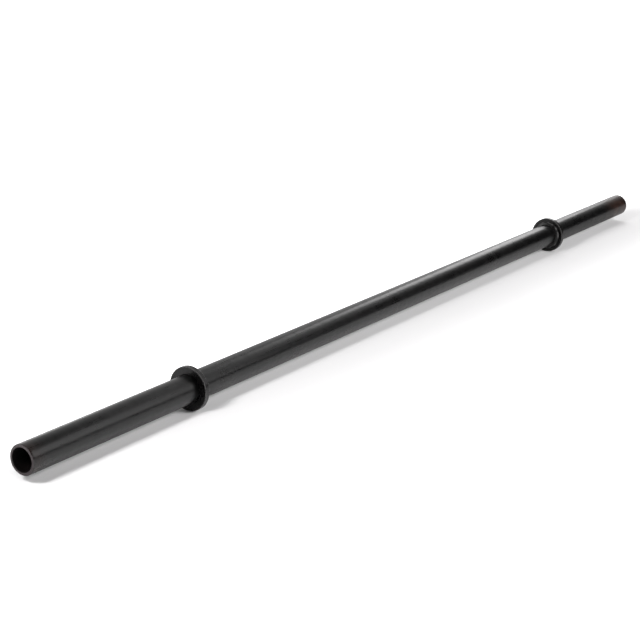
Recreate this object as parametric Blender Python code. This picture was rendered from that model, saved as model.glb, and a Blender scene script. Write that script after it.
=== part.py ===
"""A fixed axle barbell: one straight steel tube, and two flange collars welded on as plate stops.

The tube keeps one diameter from end to end and is open at both ends. Nothing turns or slides, because
the collars are welded to the tube. Units are metres and +Z is up. The bar lies along X, and its origin is on
its axis, halfway along. "Left" is the end towards -X.
"""

from math import cos, pi, radians, sin

import bmesh
import bpy
from mathutils import Vector

# Driving dimensions, in metres.
TUBE_DIAMETER = 0.0483
TUBE_WALL = 0.0051
TUBE_RIM_CHAMFER = 0.0015
TUBE_BORE_CHAMFER = 0.0005
GRIP_LENGTH = 1.283
SLEEVE_LENGTH = 0.3765
COLLAR_THICKNESS = 0.0095
COLLAR_HEIGHT = 0.01335
COLLAR_RIM_CHAMFER = 0.0008
COLLAR_BORE_CHAMFER = 0.0005
WELD_LEG = 0.0055
WELD_CROWN = 0.0006
SEAT_GAP = 0.0003

# Facets round each turned piece, and along the crown of a weld.
ROUND_FACETS = 72
CROWN_FACETS = 6

# What follows from the driving dimensions.
TUBE_RADIUS = TUBE_DIAMETER / 2
TUBE_BORE_RADIUS = TUBE_RADIUS - TUBE_WALL
TUBE_LENGTH = GRIP_LENGTH + 2 * (COLLAR_THICKNESS + SLEEVE_LENGTH)
COLLAR_BORE_RADIUS = TUBE_RADIUS + SEAT_GAP
COLLAR_RADIUS = TUBE_RADIUS + COLLAR_HEIGHT
COLLAR_FACE = GRIP_LENGTH / 2

# Shading: edges sharper than this stay crisp.
CRISP_ANGLE = radians(30)


def clear_scene():
    """Removes whatever objects the scene starts with."""
    for existing in list(bpy.data.objects):
        bpy.data.objects.remove(existing, do_unlink=True)


def make_finish(name, colour, roughness, metallic):
    """A Principled material with one colour, roughness and metallic value."""
    finish = bpy.data.materials.new(name)
    finish.use_nodes = True
    shader = finish.node_tree.nodes["Principled BSDF"]
    shader.inputs["Base Color"].default_value = (*colour, 1.0)
    shader.inputs["Roughness"].default_value = roughness
    shader.inputs["Metallic"].default_value = metallic
    finish.diffuse_color = (*colour, 1.0)
    return finish


def turned_mesh(name, profile, finish):
    """Spins a closed profile of (radius, height) points round the Z axis.

    The profile stands half a facet off the X axis, so that a flat, not an edge, faces down under the bar.
    """
    turn = pi / ROUND_FACETS
    shape = bmesh.new()
    corners = [shape.verts.new((radius * cos(turn), radius * sin(turn), height)) for radius, height in profile]
    outline = [shape.edges.new(pair) for pair in zip(corners, corners[1:] + corners[:1])]
    bmesh.ops.spin(
        shape,
        geom=corners + outline,
        cent=Vector(),
        axis=Vector((0, 0, 1)),
        angle=2 * pi,
        steps=ROUND_FACETS,
        use_merge=True,
    )
    bmesh.ops.recalc_face_normals(shape, faces=shape.faces)
    mesh = bpy.data.meshes.new(name)
    shape.to_mesh(mesh)
    shape.free()
    mesh.shade_smooth()
    mesh.set_sharp_from_angle(angle=CRISP_ANGLE)
    mesh.materials.append(finish)
    return mesh


def ring_profile(bore_radius, rim_radius, bottom, top, bore_chamfer, rim_chamfer):
    """The section of a ring with a rectangular wall, chamfered at its rim and at its bore."""
    return [
        (rim_radius - rim_chamfer, top),
        (rim_radius, top - rim_chamfer),
        (rim_radius, bottom + rim_chamfer),
        (rim_radius - rim_chamfer, bottom),
        (bore_radius + bore_chamfer, bottom),
        (bore_radius, bottom + bore_chamfer),
        (bore_radius, top - bore_chamfer),
        (bore_radius + bore_chamfer, top),
    ]


def weld_profile(seat_radius, face_height, leg, crown):
    """The section of a fillet weld in the corner between the tube and a collar face above it.

    Both legs lie a seat gap off what they join. The crown between the two toes is a shallow arc, worked out
    as a parabola that stands proud of the straight line between the toes by the crown's height.
    """
    toe_on_face = Vector((seat_radius + leg, face_height))
    toe_on_tube = Vector((seat_radius, face_height - leg))
    outward = Vector((1, -1)).normalized()
    section = [(seat_radius, face_height)]
    for step in range(CROWN_FACETS + 1):
        share = step / CROWN_FACETS
        point = toe_on_face.lerp(toe_on_tube, share) + outward * crown * 4 * share * (1 - share)
        section.append(tuple(point))
    return section


def place(name, mesh, bar, outboard=1):
    """Adds an object on the bar's axis. outboard is 1 at the right end, and -1 turns it to face the left."""
    piece = bpy.data.objects.new(name, mesh)
    piece.rotation_euler = (0 if outboard > 0 else pi, 0, 0)
    piece.parent = bar
    bpy.context.scene.collection.objects.link(piece)
    return piece


def build_bar_axis():
    """An empty on the bar's axis, with its own +Z along the bar's +X."""
    bar = bpy.data.objects.new("bar_axis", None)
    bar.rotation_euler = (0, pi / 2, 0)
    bpy.context.scene.collection.objects.link(bar)
    return bar


def build_tube(bar):
    """The tube that is the whole bar: both sleeves, the grip between them and the open bore."""
    finish = make_finish("tube_black", (0.009, 0.0085, 0.0085), 0.36, 0.0)
    profile = ring_profile(
        TUBE_BORE_RADIUS,
        TUBE_RADIUS,
        -TUBE_LENGTH / 2,
        TUBE_LENGTH / 2,
        TUBE_BORE_CHAMFER,
        TUBE_RIM_CHAMFER,
    )
    place("axle_tube", turned_mesh("axle_tube", profile, finish), bar)


def build_collars(bar):
    """The two flange collars. Their outboard faces stop the weight plates."""
    finish = make_finish("collar_black", (0.008, 0.0075, 0.0075), 0.38, 0.0)
    profile = ring_profile(
        COLLAR_BORE_RADIUS,
        COLLAR_RADIUS,
        COLLAR_FACE,
        COLLAR_FACE + COLLAR_THICKNESS,
        COLLAR_BORE_CHAMFER,
        COLLAR_RIM_CHAMFER,
    )
    mesh = turned_mesh("collar", profile, finish)
    place("right_collar", mesh, bar, outboard=1)
    place("left_collar", mesh, bar, outboard=-1)


def build_welds(bar):
    """The fillet weld on the inboard side of each collar. The outboard side is bare, so that plates sit flat."""
    finish = make_finish("weld_black", (0.008, 0.0075, 0.0075), 0.40, 0.0)
    flat_face_height = COLLAR_HEIGHT - COLLAR_RIM_CHAMFER - SEAT_GAP
    leg = min(WELD_LEG, flat_face_height)
    profile = weld_profile(TUBE_RADIUS + SEAT_GAP, COLLAR_FACE - SEAT_GAP, leg, WELD_CROWN)
    mesh = turned_mesh("weld", profile, finish)
    place("right_weld", mesh, bar, outboard=1)
    place("left_weld", mesh, bar, outboard=-1)


def main():
    clear_scene()
    bar = build_bar_axis()
    build_tube(bar)
    build_collars(bar)
    build_welds(bar)


if __name__ == "__main__":
    main()
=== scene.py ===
"""The looks of an axle barbell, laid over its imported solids.

One length of heavy tube is the whole bar, and a turned ring is welded on near each end to stop the plates.
All of it wears one satin black coating. The bar lies along X with its axis through the origin, +Z is up, and
sizes are in metres. The left end, towards -X, is the one nearer the camera.
"""

import logging
from dataclasses import dataclass
from enum import Enum
from math import pi

import bpy
import numpy as np
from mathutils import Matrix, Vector


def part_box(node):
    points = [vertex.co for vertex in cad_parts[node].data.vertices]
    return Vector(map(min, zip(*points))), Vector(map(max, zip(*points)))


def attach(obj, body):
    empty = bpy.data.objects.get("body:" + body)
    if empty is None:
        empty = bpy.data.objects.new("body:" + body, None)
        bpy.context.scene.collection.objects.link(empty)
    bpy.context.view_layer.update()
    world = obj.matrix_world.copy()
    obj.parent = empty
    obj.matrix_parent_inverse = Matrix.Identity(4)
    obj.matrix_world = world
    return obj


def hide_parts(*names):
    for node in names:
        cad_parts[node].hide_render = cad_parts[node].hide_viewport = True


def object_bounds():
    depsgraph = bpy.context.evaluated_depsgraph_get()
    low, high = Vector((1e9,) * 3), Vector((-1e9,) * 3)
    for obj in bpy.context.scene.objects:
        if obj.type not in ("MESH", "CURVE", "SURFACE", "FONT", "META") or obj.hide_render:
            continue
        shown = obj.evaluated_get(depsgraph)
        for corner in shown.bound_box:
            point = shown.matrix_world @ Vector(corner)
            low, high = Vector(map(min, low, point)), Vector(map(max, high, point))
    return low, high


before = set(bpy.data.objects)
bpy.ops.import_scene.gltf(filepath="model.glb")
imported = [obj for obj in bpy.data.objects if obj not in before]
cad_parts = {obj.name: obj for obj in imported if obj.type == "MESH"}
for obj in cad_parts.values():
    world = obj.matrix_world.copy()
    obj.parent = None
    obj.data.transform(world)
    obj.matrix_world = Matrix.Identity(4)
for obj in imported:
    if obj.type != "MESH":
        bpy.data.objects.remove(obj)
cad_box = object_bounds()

log = logging.getLogger("axle_barbell")

Colour = tuple[float, float, float]
Point = tuple[float, float, float]
Socket = bpy.types.NodeSocket
Sockets = bpy.types.bpy_prop_collection
Material = bpy.types.Material
Mesh = bpy.types.Mesh
Object = bpy.types.Object

WHITE = (1.0, 1.0, 1.0, 1.0)


class Side(Enum):
    """An end of the bar. The value is the sign of X there."""

    LEFT = -1
    RIGHT = 1

    @property
    def word(self) -> str:
        """The side's name as piece and node names spell it."""
        return self.name.lower()


class Slot(Enum):
    """The record's material slots."""

    TUBE = "tube_coating"
    COLLAR = "collar_coating"
    WELD = "weld_coating"


# Surfaces worked out with numpy.


def unit(vectors: np.ndarray) -> np.ndarray:
    """Scales an array of vectors, the last axis holding x and y, to length one."""
    return vectors / np.linalg.norm(vectors, axis=-1, keepdims=True)


def rounded(corners: np.ndarray, radii: np.ndarray, steps: int = 8) -> np.ndarray:
    """Rounds the corners of a closed outline.

    Each corner gives way to an arc that touches both edges. If w is half the angle between the edges,
    the arc starts and ends radius / tan(w) along them, and its centre lies radius / sin(w) along their
    bisector. The arc turns by t = pi - 2 w, and the point a share s of the way round stands on the spoke
    (sin((1 - s) t) first + sin(s t) last) / sin(t), where first and last are the spokes to its two ends.

    Args:
        corners: The outline's corners in order, shape (n, 2).
        radii: The radius of the arc at each corner, shape (n,), all above zero.
        steps: Segments in each arc.

    Returns:
        The rounded outline, shape (n * (steps + 1), 2).
    """
    back = unit(np.roll(corners, 1, axis=0) - corners)
    ahead = unit(np.roll(corners, -1, axis=0) - corners)
    half = np.arccos(np.clip(np.sum(back * ahead, axis=1), -1, 1)) / 2
    reach = (radii / np.tan(half))[:, None]
    centres = corners + unit(back + ahead) * (radii / np.sin(half))[:, None]
    first = corners + back * reach - centres
    last = corners + ahead * reach - centres
    turn = (pi - 2 * half)[:, None, None]
    share = np.linspace(0, 1, steps + 1)[None, :, None]
    spokes = np.sin((1 - share) * turn) * first[:, None] + np.sin(share * turn) * last[:, None]
    return (centres[:, None] + spokes / np.sin(turn)).reshape(-1, 2)


def with_rings(outline: np.ndarray, support: float, longest: float) -> np.ndarray:
    """Adds points along the straight stretches of a closed outline.

    A point stands a short way in from each end of a stretch, which keeps the shading of a rounded edge off
    the flat beside it, and the rest of the stretch is shared out evenly. A stretch no more than three times
    as long as that short way is left as it is.

    Args:
        outline: The outline's points in order, shape (n, 2).
        support: How far in from its ends a stretch gets its first and last points.
        longest: The longest step wanted between two points.

    Returns:
        The outline with its new points, shape (m, 2).
    """
    closed = np.vstack([outline, outline[:1]])
    steps = np.linalg.norm(np.diff(closed, axis=0), axis=1)
    travelled = np.concatenate([[0], np.cumsum(steps)])
    stretches = np.flatnonzero(steps > 3 * support)
    stations = [travelled[:-1]]
    for stretch in stretches:
        start, end = travelled[stretch] + support, travelled[stretch + 1] - support
        stations.append(np.linspace(start, end, 2 + int((end - start) / longest)))
    stations = np.unique(np.concatenate(stations))
    return np.stack([np.interp(stations, travelled, closed[:, axis]) for axis in (0, 1)], axis=1)


def ring_surface(name: str, along: np.ndarray, out: np.ndarray) -> Mesh:
    """A closed surface round the X axis, P(i, k) = (along, out cos a, out sin a) with a = 2 pi k / sides.

    Row i is a point of the section and column k a step round the axis. Both directions close on themselves.
    The section runs towards +X along its outside, and then the faces point outwards.

    Args:
        name: The mesh's name.
        along: X of each point, shape (section points, sides).
        out: Distance of each point from the axis, shape (section points, sides).

    Returns:
        The mesh, shaded smooth.
    """
    rows, sides = along.shape
    angle = 2 * pi * np.arange(sides) / sides
    points = np.stack([along, out * np.cos(angle), out * np.sin(angle)], axis=-1)
    here = np.arange(rows * sides).reshape(rows, sides)
    next_row = np.roll(here, -1, axis=0)
    quads = np.stack([here, np.roll(here, -1, axis=1), np.roll(next_row, -1, axis=1), next_row], axis=-1)
    mesh = bpy.data.meshes.new(name)
    mesh.vertices.add(rows * sides)
    mesh.vertices.foreach_set("co", points.astype(np.float32).ravel())
    mesh.loops.add(quads.size)
    mesh.loops.foreach_set("vertex_index", quads.astype(np.int32).ravel())
    mesh.polygons.add(rows * sides)
    mesh.polygons.foreach_set("loop_start", np.arange(0, quads.size, 4, dtype=np.int32))
    mesh.update(calc_edges=True)
    mesh.shade_smooth()
    return mesh


def turned(name: str, outline: np.ndarray, sides: int) -> Mesh:
    """Turns an outline of (x, radius) points round the X axis.

    Args:
        name: The mesh's name.
        outline: The section's points in order, towards +X along its outside, shape (n, 2).
        sides: Steps round the axis.

    Returns:
        The mesh, shaded smooth.
    """
    grid = np.repeat(outline[:, :, None], sides, axis=2)
    return ring_surface(name, grid[:, 0], grid[:, 1])


def new_object(name: str, data: bpy.types.ID) -> Object:
    """Puts an object that holds some data into the scene."""
    made = bpy.data.objects.new(name, data)
    bpy.context.scene.collection.objects.link(made)
    return made


def node_radii(node: str) -> tuple[float, float]:
    """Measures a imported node's smallest and largest distance from the bar's axis.

    Args:
        node: The node's name.

    Returns:
        The smallest and the largest radius of its corners.
    """
    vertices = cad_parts[node].data.vertices
    places = np.empty(len(vertices) * 3, np.float32)
    vertices.foreach_get("co", places)
    radii = np.hypot(places[1::3], places[2::3])
    return float(radii.min()), float(radii.max())


# Shader graphs.


class Graph:
    """Adds nodes to a node tree and wires them."""

    def __init__(self, tree: bpy.types.NodeTree) -> None:
        """Takes the tree to work in."""
        self.tree = tree

    def add(self, kind: str, inputs: dict | None = None, **settings: object) -> bpy.types.Node:
        """Adds a node.

        Args:
            kind: The node's type, such as ShaderNodeMath.
            inputs: Values or output sockets for its inputs, by name or by number.
            **settings: The node's own properties.

        Returns:
            The node.
        """
        node = self.tree.nodes.new(kind)
        for setting, value in settings.items():
            setattr(node, setting, value)
        for key, value in (inputs or {}).items():
            self.put(value, node.inputs[key])
        return node

    def put(self, value: object, socket: Socket) -> None:
        """Wires an output to an input, or gives the input a plain value."""
        if isinstance(value, Socket):
            self.tree.links.new(value, socket)
        else:
            socket.default_value = value

    def fill(self, sockets: Sockets, values: dict[str, object]) -> None:
        """Puts values or sockets into inputs, by names with underscores for spaces."""
        for name, value in values.items():
            self.put(value, sockets[name.replace("_", " ")])

    def math(
        self, operation: str, first: object, second: object = 0.0, third: object = 0.5, clamp: bool = False
    ) -> Socket:
        """The result of a Math node on up to three values or sockets."""
        inputs = {0: first, 1: second, 2: third}
        return self.add("ShaderNodeMath", inputs, operation=operation, use_clamp=clamp).outputs[0]

    def times(self, first: object, second: object, clamp: bool = False) -> Socket:
        """The product of two values or sockets."""
        return self.math("MULTIPLY", first, second, clamp=clamp)

    def length(self, first: Socket, second: Socket) -> Socket:
        """The length of a vector from its two parts."""
        squares = [self.times(part, part) for part in (first, second)]
        return self.math("SQRT", self.math("ADD", *squares))

    def parts(self, vector: Socket) -> Sockets:
        """The X, Y and Z of a vector."""
        return self.add("ShaderNodeSeparateXYZ", {0: vector}).outputs

    def ramp(self, value: Socket, start: float, end: float, low: float = 0.0, high: float = 1.0) -> Socket:
        """Eases from low to high as a value goes from start to end.

        Args:
            value: The value that is read.
            start: Where the result is low. It may lie above the end.
            end: Where the result is high.
            low: The result at the start.
            high: The result at the end.

        Returns:
            The eased value.
        """
        inputs = {"Value": value, "From Min": start, "From Max": end, "To Min": low, "To Max": high}
        return self.add("ShaderNodeMapRange", inputs, interpolation_type="SMOOTHSTEP").outputs["Result"]

    def noise(self, place: Socket, scale: object, detail: float) -> Socket:
        """Soft noise, about 0.5 on average."""
        inputs = {"Vector": place, "Scale": scale, "Detail": detail}
        return self.add("ShaderNodeTexNoise", inputs).outputs["Fac"]

    def blend(self, share: object, first: object, second: object) -> Socket:
        """The colour a share of the way from the first colour to the second."""
        node = self.add("ShaderNodeMix", {"Factor": share}, data_type="RGBA")
        ends = [socket for socket in node.inputs if socket.type == "RGBA"]
        for socket, colour in zip(ends, (first, second)):
            self.put(colour if isinstance(colour, Socket) else (*colour, 1.0), socket)
        return [socket for socket in node.outputs if socket.type == "RGBA"][0]

    def radius(self, place: Socket) -> Socket:
        """How far a place lies from the bar's axis."""
        parts = self.parts(place)
        return self.length(parts["Y"], parts["Z"])

    def bump(self, height: Socket, distance: float, **more: Socket) -> Socket:
        """The normal of a surface raised by a height, which is one at the given distance."""
        inputs = {"Height": height, "Strength": 1.0, "Distance": distance, **more}
        return self.add("ShaderNodeBump", inputs).outputs["Normal"]


class NewMaterial:
    """A material that is being made.

    Attributes:
        made: The material itself.
        graph: Its graph.
        place: The place on the piece, in its own coordinates.
    """

    def __init__(self, name: str) -> None:
        """Makes the material and gives it its name."""
        self.made = bpy.data.materials.new(name)
        self.made.use_nodes = True
        self.graph = Graph(self.made.node_tree)
        self.place = self.graph.add("ShaderNodeTexCoord").outputs["Object"]

    def set(self, **values: object) -> None:
        """Puts values or sockets into the shader's inputs, by names with underscores for spaces."""
        self.graph.fill(self.made.node_tree.nodes["Principled BSDF"].inputs, values)


class Effect:
    """A surface effect that finishes share, built once as a node group.

    A kind of effect names its sockets and wires the nodes between them.

    Attributes:
        name: The group's name.
        inputs: The names and default values of its inputs, beside Position.
        outputs: The outputs' names, a mask alone for most of them.
    """

    name = "effect"
    inputs: dict[str, object] = {}
    outputs: tuple[str, ...] = ("Mask",)

    def wire(self, graph: Graph, given: dict[str, Socket]) -> dict[str, Socket]:
        """Wires the nodes of the group.

        Args:
            graph: The group's own graph.
            given: The group's inputs by name.

        Returns:
            The group's outputs by name.
        """
        raise NotImplementedError

    def tree(self) -> bpy.types.NodeTree:
        """The node group, made at its first use."""
        made = bpy.data.node_groups.get(self.name)
        if made is not None:
            return made
        tree = bpy.data.node_groups.new(self.name, "ShaderNodeTree")
        for label, default in {"Position": (0.0, 0.0, 0.0), **self.inputs}.items():
            kind = "NodeSocketVector" if isinstance(default, tuple) else "NodeSocketFloat"
            tree.interface.new_socket(label, in_out="INPUT", socket_type=kind).default_value = default
        for label in self.outputs:
            tree.interface.new_socket(label, in_out="OUTPUT", socket_type="NodeSocketFloat")
        graph = Graph(tree)
        given = {socket.name: socket for socket in graph.add("NodeGroupInput").outputs if socket.name}
        graph.add("NodeGroupOutput", self.wire(graph, given))
        return tree

    def apply(self, new: NewMaterial, **values: object) -> dict[str, Socket]:
        """Puts the group into a material.

        Args:
            new: The material that is being made.
            **values: Values or sockets for its other inputs, named with underscores for spaces.

        Returns:
            The group's outputs by name.
        """
        node = new.graph.add("ShaderNodeGroup", node_tree=self.tree())
        new.graph.fill(node.inputs, {"Position": new.place, **values})
        return {socket.name: socket for socket in node.outputs}


class CoatTexture(Effect):
    """The skin of a sprayed coating: slow orange peel, fine grain, cloudy patches and a finer mottle."""

    name = "coat_texture"
    inputs = {"Peel Scale": 420.0, "Grain Scale": 2400.0, "Cloud Scale": 14.0, "Mottle Scale": 70.0}
    outputs = ("Height", "Cloud", "Mottle")

    PEEL_SHARE = 0.6
    GRAIN_SHARE = 0.4
    CLOUD_EDGE = (0.3, 0.7)
    MOTTLE_EDGE = (0.4, 0.7)

    def wire(self, graph: Graph, given: dict[str, Socket]) -> dict[str, Socket]:
        """Height is peel with grain over it, Cloud soft patches a hand wide, and Mottle smaller ones.

        Args:
            graph: The group's own graph.
            given: The group's inputs by name.

        Returns:
            Height, Cloud and Mottle.
        """
        place = given["Position"]
        peel = graph.times(graph.noise(place, given["Peel Scale"], detail=1.0), self.PEEL_SHARE)
        grain = graph.times(graph.noise(place, given["Grain Scale"], detail=2.0), self.GRAIN_SHARE)
        cloud = graph.noise(place, given["Cloud Scale"], detail=3.0)
        mottle = graph.noise(place, given["Mottle Scale"], detail=3.0)
        return {
            "Height": graph.math("ADD", peel, grain),
            "Cloud": graph.ramp(cloud, *self.CLOUD_EDGE),
            "Mottle": graph.ramp(mottle, *self.MOTTLE_EDGE),
        }


class RimWearAndHighlight(Effect):
    """A light band along turned rims, which lie at a radius on both sides of a middle plane: coating rubbed
    thin, and on the collars and weld beads a painted highlight as well.
    """

    name = "rim_wear_and_highlight"
    inputs = {
        "Middle": 0.0,
        "Half Width": 1.0,
        "Rim Radius": 0.02,
        "Reach": 0.001,
        "Patch Scale": 120.0,
        "Cover": 0.0,
    }

    PATCH_EDGE = (0.42, 0.66)

    def wire(self, graph: Graph, given: dict[str, Socket]) -> dict[str, Socket]:
        """Mask falls from one at the rim to nothing at its reach, and breaks up in patches.

        Args:
            graph: The group's own graph.
            given: The group's inputs by name.

        Returns:
            Mask.
        """
        place = given["Position"]
        along = graph.math("ABSOLUTE", graph.parts(place)["X"])
        from_middle = graph.math("ABSOLUTE", graph.math("SUBTRACT", along, given["Middle"]))
        aside = graph.math("SUBTRACT", from_middle, given["Half Width"])
        above = graph.math("SUBTRACT", graph.radius(place), given["Rim Radius"])
        away = graph.math("DIVIDE", graph.length(aside, above), given["Reach"])
        near = graph.math("SUBTRACT", 1.0, away, clamp=True)
        cover = graph.math("ADD", graph.noise(place, given["Patch Scale"], detail=4.0), given["Cover"])
        patches = graph.ramp(cover, *self.PATCH_EDGE)
        return {"Mask": graph.times(near, patches)}


class Scuffs(Effect):
    """Faint rub marks, drawn out along the directions in which the stretch is small."""

    name = "scuffs"
    inputs = {"Stretch": (1.0, 1.0, 1.0), "Scale": 500.0, "Level": 0.6}

    CONTRAST = 6.0

    def wire(self, graph: Graph, given: dict[str, Socket]) -> dict[str, Socket]:
        """Mask is where stretched noise stands above the level.

        Args:
            graph: The group's own graph.
            given: The group's inputs by name.

        Returns:
            Mask.
        """
        inputs = {0: given["Position"], 1: given["Stretch"]}
        drawn = graph.add("ShaderNodeVectorMath", inputs, operation="MULTIPLY").outputs["Vector"]
        above = graph.math("SUBTRACT", graph.noise(drawn, given["Scale"], detail=3.0), given["Level"])
        return {"Mask": graph.times(above, self.CONTRAST, clamp=True)}


class DustFilm(Effect):
    """A thin film of dust, with a few specks, on what faces up."""

    name = "dust_film"
    inputs = {"Normal": (0.0, 0.0, 1.0), "Film Scale": 60.0, "Speck Scale": 330.0}

    UPWARD = (0.1, 0.95)
    FILM_EDGE = (0.35, 0.8)
    FILM_SHARE = 0.5
    SPECK_EDGE = (0.08, 0.02)

    def wire(self, graph: Graph, given: dict[str, Socket]) -> dict[str, Socket]:
        """Mask grows as the surface turns up, and is full in specks under half a millimetre wide.

        Args:
            graph: The group's own graph.
            given: The group's inputs by name.

        Returns:
            Mask.
        """
        place = given["Position"]
        up = graph.ramp(graph.parts(given["Normal"])["Z"], *self.UPWARD)
        patches = graph.noise(place, given["Film Scale"], detail=4.0)
        film = graph.ramp(patches, *self.FILM_EDGE, high=self.FILM_SHARE)
        cells = graph.add("ShaderNodeTexVoronoi", {"Vector": place, "Scale": given["Speck Scale"]}).outputs
        specks = graph.ramp(cells["Distance"], *self.SPECK_EDGE)
        return {"Mask": graph.times(up, graph.math("MAXIMUM", film, specks), clamp=True)}


class EndBloom(Effect):
    """A brown bloom round the tube, towards one of its ends."""

    name = "end_bloom"
    inputs = {"Start": 0.9, "Full": 1.0, "Patch Scale": 45.0}

    PATCH_EDGE = (0.3, 0.6)
    THINNEST = 0.45

    def wire(self, graph: Graph, given: dict[str, Socket]) -> dict[str, Socket]:
        """Mask grows along X from its start until it is full, in patches.

        Args:
            graph: The group's own graph.
            given: The group's inputs by name.

        Returns:
            Mask.
        """
        place = given["Position"]
        along = graph.ramp(graph.parts(place)["X"], given["Start"], given["Full"])
        patches = graph.noise(place, given["Patch Scale"], detail=3.0)
        cover = graph.ramp(patches, *self.PATCH_EDGE, low=self.THINNEST)
        return {"Mask": graph.times(along, cover)}


class TurningMarks(Effect):
    """The fine rings that a lathe tool leaves on a faced ring, softened by the coating over them."""

    name = "turning_marks"
    inputs = {"Pitch": 0.0004}
    outputs = ("Height",)

    def wire(self, graph: Graph, given: dict[str, Socket]) -> dict[str, Socket]:
        """Height is a wave in the radius, from zero to one, with one crest for each pitch.

        Args:
            graph: The group's own graph.
            given: The group's inputs by name.

        Returns:
            Height.
        """
        turns = graph.math("DIVIDE", graph.radius(given["Position"]), given["Pitch"])
        wave = graph.math("SINE", graph.times(turns, 2 * pi))
        return {"Height": graph.math("MULTIPLY_ADD", wave, 0.5, 0.5)}


# Finishes.


@dataclass(frozen=True)
class SatinCoating:
    """Satin black coating on steel, with texture, faint rubs, dust and a light band at the rims: rubbed
    coating, and on the collars and weld beads a painted highlight too.

    Attributes:
        name: The material's name.
        roughness: Roughness of the clean coating.
        rim_middle: X of the plane between the piece's two rims, on the right side of the bar.
        rim_half: Half the distance between the rims.
        rim_radius: Radius of the rims.
        rim_reach: How far the light band reaches from a rim.
        wear_and_highlight: How much of the light colour is laid along the rims, from 0 to 1: rubbed coating,
            and on the collars and weld beads a painted highlight.
        rub_stretch: Stretch of the rub marks, small along their own direction.
        cover: Added to the noise that breaks the light band up, so that more of the rim gets it.
        turned: Share of lathe rings in the texture.
        bloom: How much of the coating is browned towards the bar's ends.
        cut_at: Half the distance between the piece's cut ends, where the coating is thin, or zero.
    """

    name: str
    roughness: float
    rim_middle: float
    rim_half: float
    rim_radius: float
    rim_reach: float
    wear_and_highlight: float
    rub_stretch: Point
    cover: float = 0.0
    turned: float = 0.0
    bloom: float = 0.0
    cut_at: float = 0.0

    # Colours: the coating, its cloudy patches, dust, thin coating that also serves as a painted highlight on
    # rims, brown bloom and the cut ends.
    BODY = (0.0005, 0.0005, 0.0005)
    CLOUD = (0.0012, 0.0011, 0.0011)
    DUST = (0.16, 0.155, 0.15)
    THIN = (0.076, 0.074, 0.074)
    BROWN = (0.026, 0.0135, 0.0098)
    CUT = (0.036, 0.0285, 0.0305)

    # Shares, and where the bloom and the thin cut ends set in, the latter counted from the cut.
    MOTTLE_SHARE = 0.025
    DUST_SHARE = 0.015
    LEFT_BLOOM_SHARE = 0.25
    RIGHT_BLOOM = (0.90, 0.99)
    LEFT_BLOOM = (-0.99, -1.03)
    CUT_EDGE = (-0.0006, -0.0001)

    # Gloss, the roughness that clouds and mottle add, and what rubs take away of it.
    SPECULAR = 0.41
    CLOUD_ROUGHNESS = 0.03
    MOTTLE_ROUGHNESS = 0.03
    RUB_POLISH = 0.05

    # The coating's texture, and the slow unevenness under it.
    PEEL_HEIGHT = 0.000012
    WAVE_HEIGHT = 0.0004
    WAVE_SCALE = 48.0
    WAVE_DETAIL = 1.5

    def material(self) -> Material:
        """The finish as a material."""
        new = NewMaterial(self.name)
        graph = new.graph
        skin = CoatTexture().apply(new)
        normal = graph.add("ShaderNodeNewGeometry").outputs["Normal"]
        film = DustFilm().apply(new, Normal=normal)["Mask"]
        dust = graph.times(film, self.DUST_SHARE)
        coat = self.worn_and_highlit(new, self.stained(new, skin))

        rough = graph.math("MULTIPLY_ADD", skin["Cloud"], self.CLOUD_ROUGHNESS, self.roughness)
        rough = graph.math("ADD", rough, graph.times(skin["Mottle"], self.MOTTLE_ROUGHNESS))
        rubs = Scuffs().apply(new, Stretch=self.rub_stretch)["Mask"]
        rough = graph.math("SUBTRACT", rough, graph.times(rubs, self.RUB_POLISH))

        new.set(
            Base_Color=graph.blend(dust, coat, self.DUST),
            Roughness=graph.math("ADD", rough, dust),
            Specular_IOR_Level=self.SPECULAR,
            Normal=self.raised(new, skin["Height"]),
        )
        return new.made

    def stained(self, new: NewMaterial, skin: dict[str, Socket]) -> Socket:
        """The coating's colour with its clouds, its mottle, its brown bloom and its thin cut ends.

        Args:
            new: The material that is being made.
            skin: What the coating's texture gives.

        Returns:
            The colour.
        """
        graph = new.graph
        coat = graph.blend(skin["Cloud"], self.BODY, self.CLOUD)
        coat = graph.blend(graph.times(skin["Mottle"], self.MOTTLE_SHARE), coat, self.THIN)
        if self.bloom:
            right, left = (
                EndBloom().apply(new, Start=start, Full=full)["Mask"]
                for start, full in (self.RIGHT_BLOOM, self.LEFT_BLOOM)
            )
            both = graph.math("ADD", right, graph.times(left, self.LEFT_BLOOM_SHARE))
            coat = graph.blend(graph.times(both, self.bloom), coat, self.BROWN)
        if self.cut_at:
            along = graph.math("ABSOLUTE", graph.parts(new.place)["X"])
            start, full = (self.cut_at + edge for edge in self.CUT_EDGE)
            coat = graph.blend(graph.ramp(along, start, full), coat, self.CUT)
        return coat

    def worn_and_highlit(self, new: NewMaterial, coat: Socket) -> Socket:
        """The coating's colour with its light band at the rims: rubbed coating, and on the collars and weld
        beads a painted highlight.

        Args:
            new: The material that is being made.
            coat: The colour without the light band.

        Returns:
            The colour.
        """
        # Painted highlight: on the collars and weld beads this light band stands in for the lamps' highlights
        # on edges and crowns; on the tube it is rubbed coating.
        wear_and_highlight = RimWearAndHighlight().apply(
            new,
            Middle=self.rim_middle,
            Half_Width=self.rim_half,
            Rim_Radius=self.rim_radius,
            Reach=self.rim_reach,
            Cover=self.cover,
        )["Mask"]
        return new.graph.blend(new.graph.times(wear_and_highlight, self.wear_and_highlight), coat, self.THIN)

    def raised(self, new: NewMaterial, height: Socket) -> Socket:
        """The normal of the coating's texture, with lathe rings if any, over slow waves.

        Args:
            new: The material that is being made.
            height: The texture's height.

        Returns:
            The normal.
        """
        graph = new.graph
        if self.turned:
            rings = TurningMarks().apply(new)["Height"]
            height = graph.math("ADD", height, graph.times(rings, self.turned))
        waves = graph.noise(new.place, self.WAVE_SCALE, self.WAVE_DETAIL)
        return graph.bump(height, self.PEEL_HEIGHT, Normal=graph.bump(waves, self.WAVE_HEIGHT))


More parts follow.
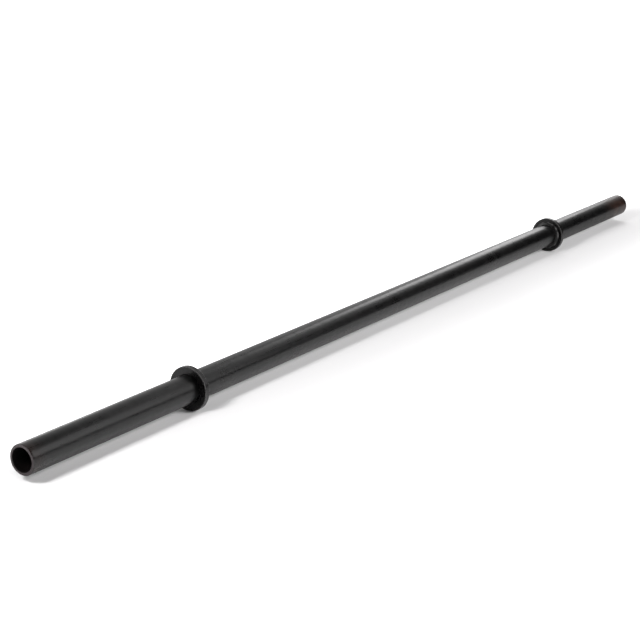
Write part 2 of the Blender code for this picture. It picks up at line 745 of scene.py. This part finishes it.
@dataclass(frozen=True)
class BoreScale:
    """The dull dark scale inside the tube, where little coating reaches.

    Attributes:
        scale: Colour of the scale.
        bloom: Colour of its lighter patches.
        roughness: Roughness of the scale.
        patch_roughness: Roughness that the patches add.
        grit_height: Height of its grit.
    """

    scale: Colour = (0.0022, 0.0018, 0.0018)
    bloom: Colour = (0.006, 0.0045, 0.0043)
    roughness: float = 0.68
    patch_roughness: float = 0.12
    grit_height: float = 0.00012

    def material(self) -> Material:
        """The finish as a material."""
        new = NewMaterial("tube_bore_scale")
        graph = new.graph
        skin = CoatTexture().apply(new, Peel_Scale=650.0, Grain_Scale=1900.0, Cloud_Scale=45.0)
        new.set(
            Base_Color=graph.blend(skin["Cloud"], self.scale, self.bloom),
            Roughness=graph.math("MULTIPLY_ADD", skin["Cloud"], self.patch_roughness, self.roughness),
            Specular_IOR_Level=0.25,
            Normal=graph.bump(skin["Height"], self.grit_height),
        )
        return new.made


# The bar's own pieces.


def show(mesh: Mesh, node: str) -> Object:
    """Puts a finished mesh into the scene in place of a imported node.

    Args:
        mesh: The piece's mesh, whose name becomes the piece's.
        node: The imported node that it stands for.

    Returns:
        The piece.
    """
    piece = new_object(mesh.name, mesh)
    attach(piece, "root")
    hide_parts(node)
    log.info("%s: %d faces, stands for %s", piece.name, len(mesh.polygons), node)
    return piece


@dataclass
class AxleTube:
    """The tube that is the whole bar, cut square and open at both ends.

    Attributes:
        node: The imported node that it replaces.
        rim_round: Radius of the round on the outer rim of each end.
        bore_round: Radius of the round on the inner rim of each end.
        sides: Steps round the tube.
        support: Distance of the ring of points beside each round.
        ring_step: Longest step between rings along the tube.
    """

    node: str = "axle_tube"
    rim_round: float = 0.0020
    bore_round: float = 0.0006
    sides: int = 192
    support: float = 0.0004
    ring_step: float = 0.03

    def __post_init__(self) -> None:
        """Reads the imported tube's length and radii."""
        self.half_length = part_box(self.node)[1].x
        self.bore_radius, self.radius = node_radii(self.node)

    def outline(self) -> np.ndarray:
        """The tube's section: a long bar of wall with rounded corners."""
        end, top, inner = self.half_length, self.radius, self.bore_radius
        corners = np.array([(-end, top), (end, top), (end, inner), (-end, inner)])
        radii = np.array([self.rim_round, self.rim_round, self.bore_round, self.bore_round])
        return with_rings(rounded(corners, radii), self.support, self.ring_step)

    def mesh(self) -> Mesh:
        """The tube's mesh, whose second material slot is for the faces of the bore."""
        outline = self.outline()
        mesh = turned("tube", outline, self.sides)
        next_point = np.roll(outline, -1, axis=0)
        in_bore = np.maximum(outline[:, 1], next_point[:, 1]) < self.bore_radius + self.bore_round / 2
        mesh.polygons.foreach_set("material_index", np.repeat(in_bore.astype(np.int32), self.sides))
        return mesh

    def build(self) -> Object:
        """Makes the tube and dresses it."""
        coating = SatinCoating(
            name="tube_satin_black",
            roughness=0.27,
            rim_middle=0.0,
            rim_half=self.half_length,
            rim_radius=self.radius,
            rim_reach=0.0022,
            wear_and_highlight=0.5,
            rub_stretch=(0.03, 1.0, 1.0),
            bloom=1.0,
            cut_at=self.half_length,
        )
        mesh = self.mesh()
        mesh.materials.append(coating.material())
        mesh.materials.append(BoreScale().material())
        return show(mesh, self.node)


@dataclass
class StopCollar:
    """A turned ring that stops the plates: square faces, chamfered and then softened by the coating.

    Attributes:
        side: The end of the bar that it is near.
        rim_chamfer: Chamfer of both outer edges.
        bore_chamfer: Chamfer of both inner edges.
        edge_round: Radius that the coating gives every edge.
        sides: Steps round the ring.
        support: Distance of the ring of points beside each round.
        ring_step: Longest step between rings across a face.
    """

    side: Side
    rim_chamfer: float = 0.0008
    bore_chamfer: float = 0.0005
    edge_round: float = 0.0004
    sides: int = 192
    support: float = 0.00025
    ring_step: float = 0.002

    def __post_init__(self) -> None:
        """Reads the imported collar's faces and radii, with the outer one as large as its box allows."""
        self.node = f"{self.side.word}_collar"
        low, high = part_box(self.node)
        self.low_face, self.high_face = low.x, high.x
        self.radius = high.z
        self.bore_radius = node_radii(self.node)[0]

    def outline(self) -> np.ndarray:
        """The ring's section, with its chamfers."""
        low, high, top, inner = self.low_face, self.high_face, self.radius, self.bore_radius
        rim, bore = self.rim_chamfer, self.bore_chamfer
        outer_side = [(low, top - rim), (low + rim, top), (high - rim, top), (high, top - rim)]
        inner_side = [(high, inner + bore), (high - bore, inner), (low + bore, inner), (low, inner + bore)]
        corners = np.array(outer_side + inner_side)
        radii = np.repeat([self.edge_round * 2, self.edge_round], 4)
        return with_rings(rounded(corners, radii, steps=4), self.support, self.ring_step)

    def build(self, finish: Material) -> Object:
        """Makes the collar and dresses it.

        Args:
            finish: The coating that both collars share.

        Returns:
            The collar.
        """
        mesh = turned(f"{self.side.word}_stop_collar", self.outline(), self.sides)
        mesh.materials.append(finish)
        return show(mesh, self.node)

    def coating(self) -> SatinCoating:
        """The coating of both collars, with rubbed coating at their rims and a painted highlight along their
        edges.
        """
        return SatinCoating(
            name="collar_satin_black",
            roughness=0.24,
            rim_middle=abs(self.low_face + self.high_face) / 2,
            rim_half=(self.high_face - self.low_face) / 2,
            rim_radius=self.radius,
            rim_reach=0.0018,
            # Painted highlight along the collars' edges, laid in with the rubbed coating.
            wear_and_highlight=1.0,
            cover=0.14,
            rub_stretch=(1.0, 0.05, 0.05),
            turned=0.3,
        )


@dataclass
class WeldBead:
    """The fillet weld in the corner between the tube and a collar's inboard face.

    Attributes:
        side: The end of the bar that it is near.
        crown: Height of the bead's arc over the straight line between its toes.
        ripple: Depth of the grooves between the ripples.
        ripple_pitch: Distance from one ripple to the next, round the tube.
        lag: How far the middle of a ripple trails behind its ends, in ripples.
        wobble: How far the toes wander.
        sunk: How deep the bead's hidden sides lie in the tube and in the collar.
        steps: Steps across the bead's face.
        ripple_steps: Steps in each ripple round the tube.
        seed: Seed of the wander.
    """

    side: Side
    crown: float = 0.0008
    ripple: float = 0.00030
    ripple_pitch: float = 0.0034
    lag: float = 0.9
    wobble: float = 0.00022
    sunk: float = 0.00012
    steps: int = 14
    ripple_steps: int = 12
    seed: int = 7

    TUBE_TOE_SHIFT = 1
    FACE_TOE_SHIFT = 5

    def __post_init__(self) -> None:
        """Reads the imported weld's legs and the tube's radius."""
        self.node = f"{self.side.word}_weld"
        low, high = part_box(self.node)
        self.tube_radius = node_radii("axle_tube")[1]
        self.leg = high.x - low.x
        face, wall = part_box(f"{self.side.word}_collar")
        self.face = min(abs(face.x), abs(wall.x))

    def wander(self, angle: np.ndarray, shift: int) -> np.ndarray:
        """A slow wander round the tube: sines of 2 to 9 waves, smaller as they get shorter, at seeded phases.

        Args:
            angle: Angles round the tube.
            shift: Added to the seed, so that each toe has its own.

        Returns:
            The wander at each angle, in metres.
        """
        waves = np.arange(2, 10)
        phases = np.random.default_rng(self.seed + shift).uniform(0, 2 * pi, len(waves))
        return self.wobble * np.sum(np.sin(np.outer(angle, waves) + phases) / np.sqrt(waves), axis=1)

    def mesh(self) -> Mesh:
        """The bead's mesh.

        Across its face, the share s goes from 0 at the toe on the tube to 1 at the toe on the collar. A point
        lies on the straight line between the toes, raised by crown 4 s (1 - s) and by the ripples. A ripple
        is an arc between two sharp grooves, |cos(phase / 2)|, and its phase is the number of ripples round
        the tube times the angle, less a lag of 4 s (1 - s), which bows the ripples into crescents. The
        ripples fade out at both toes. The first row is moved on into the tube. Two more rows close the
        section, one sunk in the collar behind its toe and one in the corner, sunk in both.

        Returns:
            The mesh, shaded smooth.
        """
        count = round(2 * pi * (self.tube_radius + self.leg / 2) / self.ripple_pitch)
        sides = count * self.ripple_steps
        angle = 2 * pi * np.arange(sides) / sides
        share = np.linspace(0, 1, self.steps + 1)[:, None]
        bow = 4 * share * (1 - share)
        phase = count * angle[None, :] - 2 * pi * self.lag * bow * self.side.value
        grooves = np.abs(np.cos(phase / 2)) - 1
        raised = self.crown * bow + self.ripple * grooves * np.sqrt(bow)
        tube_leg = self.leg + self.wander(angle, self.TUBE_TOE_SHIFT + self.side.value)
        face_leg = self.leg + self.wander(angle, self.FACE_TOE_SHIFT + self.side.value)
        diagonal = np.hypot(tube_leg, face_leg)
        inboard = (1 - share) * tube_leg + raised * face_leg / diagonal
        outward = share * face_leg + raised * tube_leg / diagonal
        rows_in = np.vstack([inboard, np.full((2, sides), -self.sunk)])
        rows_in[0] += self.sunk
        rows_out = np.vstack([outward, outward[-1:], np.full((1, sides), -self.sunk)])
        rows_out[0] -= self.sunk
        along = self.side.value * (self.face - rows_in)
        out = self.tube_radius + rows_out
        if self.side is Side.LEFT:
            along, out = along[::-1], out[::-1]
        return ring_surface(f"{self.side.word}_weld_bead", along, out)

    def build(self, finish: Material) -> Object:
        """Makes the bead and dresses it.

        Args:
            finish: The coating that both beads share.

        Returns:
            The bead.
        """
        mesh = self.mesh()
        mesh.materials.append(finish)
        return show(mesh, self.node)

    def coating(self) -> SatinCoating:
        """The coating over both beads, with a painted highlight: a light ring along the crown of each, on the
        half nearer its collar.
        """
        return SatinCoating(
            name="weld_satin_black",
            roughness=0.29,
            # Painted highlight: the light ring sits on the bead's crown, in place of a highlight from the
            # lamps.
            rim_middle=self.face - self.leg / 4,
            rim_half=0.0,
            rim_radius=self.tube_radius + self.leg * 3 / 4 + self.crown / 2,
            rim_reach=0.0028,
            wear_and_highlight=1.0,
            cover=0.03,
            rub_stretch=(1.0, 0.2, 0.2),
        )


# The studio.


@dataclass(frozen=True)
class StudioCamera:
    """The camera at the photograph's viewing angle, found from the bar's outlines.

    Attributes:
        place: Where it stands.
        heading: Direction that it looks in, turned from +X towards +Y, in radians.
        pitch: Its tilt above the horizon, in radians.
        focal_pixels: Focal length in pixels of the photograph.
        centre_pixels: The pixel that its axis passes through, from the top left corner.
        frame_pixels: Width and height of the photograph.
    """

    place: Point = (-2.54316, -1.53895, 0.83282)
    heading: float = 0.5941
    pitch: float = -0.2828
    focal_pixels: float = 1593.3
    centre_pixels: tuple[float, float] = (321.9, 313.4)
    frame_pixels: float = 640.0

    def build(self) -> None:
        """Makes the camera and gives it to the scene."""
        lens = bpy.data.cameras.new("studio_camera")
        lens.lens = self.focal_pixels * lens.sensor_width / self.frame_pixels
        lens.shift_x = 0.5 - self.centre_pixels[0] / self.frame_pixels
        lens.shift_y = self.centre_pixels[1] / self.frame_pixels - 0.5
        camera = new_object("studio_camera", lens)
        camera.location = self.place
        camera.rotation_euler = (pi / 2 + self.pitch, 0.0, self.heading - pi / 2)
        bpy.context.scene.camera = camera


@dataclass(frozen=True)
class Softbox:
    """A rectangular lamp.

    Attributes:
        name: The lamp's name.
        place: Where its middle hangs.
        size: Its width and height.
        radiance: How bright it is, where 1 is white.
        aim: X of the point on the bar's axis that it faces.
        mirrored: Whether it shows in reflections.
        lights: Whether it lights dull surfaces.
    """

    name: str
    place: Point
    size: tuple[float, float]
    radiance: float
    aim: float = 0.0
    mirrored: bool = True
    lights: bool = True

    TINT = (1.0, 0.990, 0.996)

    def hang(self) -> None:
        """Adds the lamp to the scene."""
        light = bpy.data.lights.new(self.name, "AREA")
        light.shape = "RECTANGLE"
        width, height = self.size
        light.size, light.size_y = width, height
        light.energy = self.radiance * pi * width * height
        light.color = self.TINT
        lamp = new_object(self.name, light)
        lamp.location = self.place
        sight = Vector((self.aim, 0.0, 0.0)) - Vector(self.place)
        lamp.rotation_euler = sight.to_track_quat("-Z", "Y").to_euler()
        lamp.visible_camera = False
        lamp.visible_glossy = self.mirrored
        lamp.visible_diffuse = self.lights


@dataclass(frozen=True)
class Surround:
    """The room's own light: a pale backdrop behind the bar and a dark room in front of it.

    The backdrop is brightest low down, on both sides of a darker gap. It is laid out by the direction of a
    ray, whose X, Y and Z each run from -1 to 1.

    Attributes:
        front: Radiance in front of the bar.
        horizon: Radiance low down behind it.
        right: Radiance added low down towards the right.
        left: Radiance added low down towards the left.
        middle: Radiance halfway up behind it.
        overhead: Radiance overhead, behind the bar.
        spill: Share of its light that falls on dull surfaces.
    """

    front: float = 0.015
    horizon: float = 0.43
    right: float = 1.3
    left: float = 2.5
    middle: float = 0.7
    overhead: float = 0.41
    spill: float = 0.7

    # X between which the light sets in right and left, Z between which it changes, and Y where the room ends.
    RIGHTWARD = (0.76, 0.89)
    LEFTWARD = (0.75, 0.66)
    LOW = (0.1, 0.3)
    HIGH = (0.58, 0.66)
    BACKWARD = (-0.26, 0.315)

    def build(self) -> None:
        """Makes the world. The camera sees it plain white."""
        world = bpy.data.worlds.new("studio_surround")
        world.use_nodes = True
        bpy.context.scene.world = world
        graph = Graph(world.node_tree)
        parts = graph.parts(graph.add("ShaderNodeTexCoord").outputs["Generated"])
        right = graph.ramp(parts["X"], *self.RIGHTWARD, self.horizon, self.horizon + self.right)
        left = graph.ramp(parts["X"], *self.LEFTWARD, 0.0, self.left)
        lower = graph.ramp(parts["Z"], *self.LOW, graph.math("ADD", right, left), self.middle)
        backdrop = graph.ramp(parts["Z"], *self.HIGH, lower, self.overhead)
        room = graph.ramp(parts["Y"], *self.BACKWARD, self.front, backdrop)
        rays = graph.add("ShaderNodeLightPath").outputs
        cast = graph.times(room, graph.math("MAXIMUM", rays["Is Glossy Ray"], self.spill))
        light = graph.math("MAXIMUM", cast, rays["Is Camera Ray"])
        graph.fill(world.node_tree.nodes["Background"].inputs, {"Color": WHITE, "Strength": light})


@dataclass(frozen=True)
class StudioFloor:
    """A white floor that the collars stand on, wide enough to fill every view.

    Attributes:
        reach: Radius of the floor.
        rings: Rings of faces in it.
        sides: Steps round it.
        white: Colour of its paper.
        grain: How much lighter the paper is in its lightest patches.
        glow_start: Distance from the bar at which the paper starts to glow for the camera.
        glow_full: Distance at which the glow is full and the floor is open white.
        behind: How many times sooner it sets in behind the bar.
        past_left: How many times sooner it sets in past the bar's left end.
        inboard: How far inboard of the left end that begins, behind the bar.
        dulled: Share of its light that it loses in reflections, towards the bar's right end, a painted shade
            that only reflections show.
        dull_start: X at which that loss begins.
        dull_full: X at which it is full.
        shaded: Share that the strip behind the bar's foot loses in reflections, a painted shadow that only
            reflections show.
        strip: Width of that strip.
    """

    reach: float = 30.0
    rings: int = 24
    sides: int = 96
    white: float = 0.80
    grain: float = 0.01
    glow_start: float = 0.07
    glow_full: float = 0.5
    behind: float = 3.0
    past_left: float = 7.0
    inboard: float = 0.035
    dulled: float = 0.41
    dull_start: float = 0.3
    dull_full: float = 1.0
    shaded: float = 0.65
    strip: float = 0.06

    GRAIN_SCALE = 3.0
    GRAIN_EDGE = (0.2, 0.8)
    FOOT_EDGE = (-0.01, 0.0)
    STRIP_FADE = 0.02
    INBOARD_EDGE = (0.0, 0.02)

    def paper(self) -> Material:
        """The floor's white paper."""
        new = NewMaterial("studio_paper")
        graph = new.graph
        parts = graph.parts(new.place)
        rays = graph.add("ShaderNodeLightPath").outputs
        patches = graph.noise(new.place, self.GRAIN_SCALE, detail=3.0)
        grey = graph.ramp(patches, *self.GRAIN_EDGE, self.white, self.white + self.grain)
        # Painted shade in reflections only: darker towards the bar's right end, and a painted shadow in the
        # strip behind its foot.
        dull = graph.ramp(parts["X"], self.dull_start, self.dull_full, 0.0, self.dulled)
        foot = graph.ramp(parts["Y"], *self.FOOT_EDGE, 0.0, self.shaded)
        strip = graph.times(foot, graph.ramp(parts["Y"], self.strip + self.STRIP_FADE, self.strip))
        lost = graph.math("MAXIMUM", dull, strip)
        kept = graph.math("SUBTRACT", 1.0, graph.times(lost, rays["Is Glossy Ray"]))
        lit = graph.times(grey, kept)
        tone = graph.add("ShaderNodeCombineColor", {"Red": lit, "Green": lit, "Blue": lit}).outputs["Color"]
        new.set(
            Base_Color=tone,
            Roughness=0.9,
            Specular_IOR_Level=0.0,
            Emission_Color=WHITE,
            Emission_Strength=graph.times(rays["Is Camera Ray"], self.glow(graph, parts)),
        )
        return new.made

    def glow(self, graph: Graph, parts: Sockets) -> Socket:
        """The glow at a place, which grows with its distance from the bar.

        Args:
            graph: The paper's graph.
            parts: The X, Y and Z of the place.

        Returns:
            The glow.
        """
        right = graph.math("SUBTRACT", parts["X"], cad_box[1].x)
        inboard = graph.ramp(parts["Y"], *self.INBOARD_EDGE, 0.0, self.inboard)
        edge = graph.math("ADD", inboard, cad_box[0].x)
        left = graph.times(graph.math("SUBTRACT", edge, parts["X"]), self.past_left)
        beyond = graph.math("MAXIMUM", graph.math("MAXIMUM", left, right), 0.0)
        back = graph.times(parts["Y"], self.behind)
        across = graph.math("MAXIMUM", back, graph.times(parts["Y"], -1.0))
        return graph.ramp(graph.length(beyond, across), self.glow_start, self.glow_full)

    def build(self) -> None:
        """Lays the floor at the bar's lowest point.

        The floor is a disc, P(i, k) = (r cos a, r sin a, height), and its rings r grow with the square of i.
        """
        height = cad_box[0].z
        angle = 2 * pi * np.arange(self.sides) / self.sides
        radius = self.reach * (np.arange(1, self.rings + 1)[:, None] / self.rings) ** 2
        ring = np.stack(np.broadcast_arrays(radius * np.cos(angle), radius * np.sin(angle), height), -1)
        points = np.vstack([[[0.0, 0.0, height]], ring.reshape(-1, 3)])
        here = 1 + np.arange(self.rings * self.sides).reshape(self.rings, self.sides)
        beside = np.roll(here, -1, axis=1)
        quads = np.stack([here[:-1], here[1:], beside[1:], beside[:-1]], -1).reshape(-1, 4)
        middle = np.stack([np.zeros(self.sides, int), here[0], beside[0]], -1)
        mesh = bpy.data.meshes.new("studio_floor")
        mesh.from_pydata(points.tolist(), [], middle.tolist() + quads.tolist())
        mesh.materials.append(self.paper())
        floor = new_object("studio_floor", mesh)


class Studio:
    """The camera, the floor, the lamps and the room."""

    lamps = (
        Softbox("near_key", (-2.33, 0.0, 1.44), size=(0.51, 0.49), radiance=49.5, aim=-0.8, mirrored=False),
        Softbox("far_softbox", (1.57, 0.37, 0.80), size=(0.51, 0.92), radiance=3.0, aim=0.5),
        Softbox("front_softbox", (0.77, -1.93, 1.23), size=(1.60, 1.68), radiance=1.99, aim=-0.3),
        Softbox("overhead_right", (2.12, -0.56, 2.01), size=(2.09, 1.31), radiance=0.74, aim=0.3),
        Softbox("overhead_left", (-0.87, 0.06, 1.80), size=(0.66, 0.70), radiance=2.15, aim=-0.8),
        Softbox("front_fill", (0.15, -2.57, 1.57), size=(0.96, 0.72), radiance=32.8, mirrored=False),
        Softbox("back_softbox", (-0.50, 2.30, 1.70), size=(2.60, 0.90), radiance=2.6, lights=False),
    )

    def build(self) -> None:
        """Sets up everything round the bar."""
        StudioCamera().build()
        StudioFloor().build()
        Surround().build()
        for lamp in self.lamps:
            lamp.hang()
        bpy.context.scene.view_settings.view_transform = "Standard"


class Barbell:
    """The whole bar: its tube, and a collar and a weld bead at each end."""

    def build(self) -> list[Object]:
        """Builds the bar's pieces in order.

        Returns:
            The pieces.
        """
        collars = [StopCollar(side) for side in Side]
        beads = [WeldBead(side) for side in Side]
        collar_finish = collars[0].coating().material()
        bead_finish = beads[0].coating().material()
        pieces = [AxleTube().build()]
        pieces += [collar.build(collar_finish) for collar in collars]
        pieces += [bead.build(bead_finish) for bead in beads]
        return pieces


def main() -> None:
    """Builds the bar and the studio round it."""
    logging.basicConfig(level=logging.INFO, format="%(name)s: %(message)s")
    pieces = Barbell().build()
    Studio().build()
    log.info("%d pieces dressed", len(pieces))


if __name__ == "__main__":
    main()
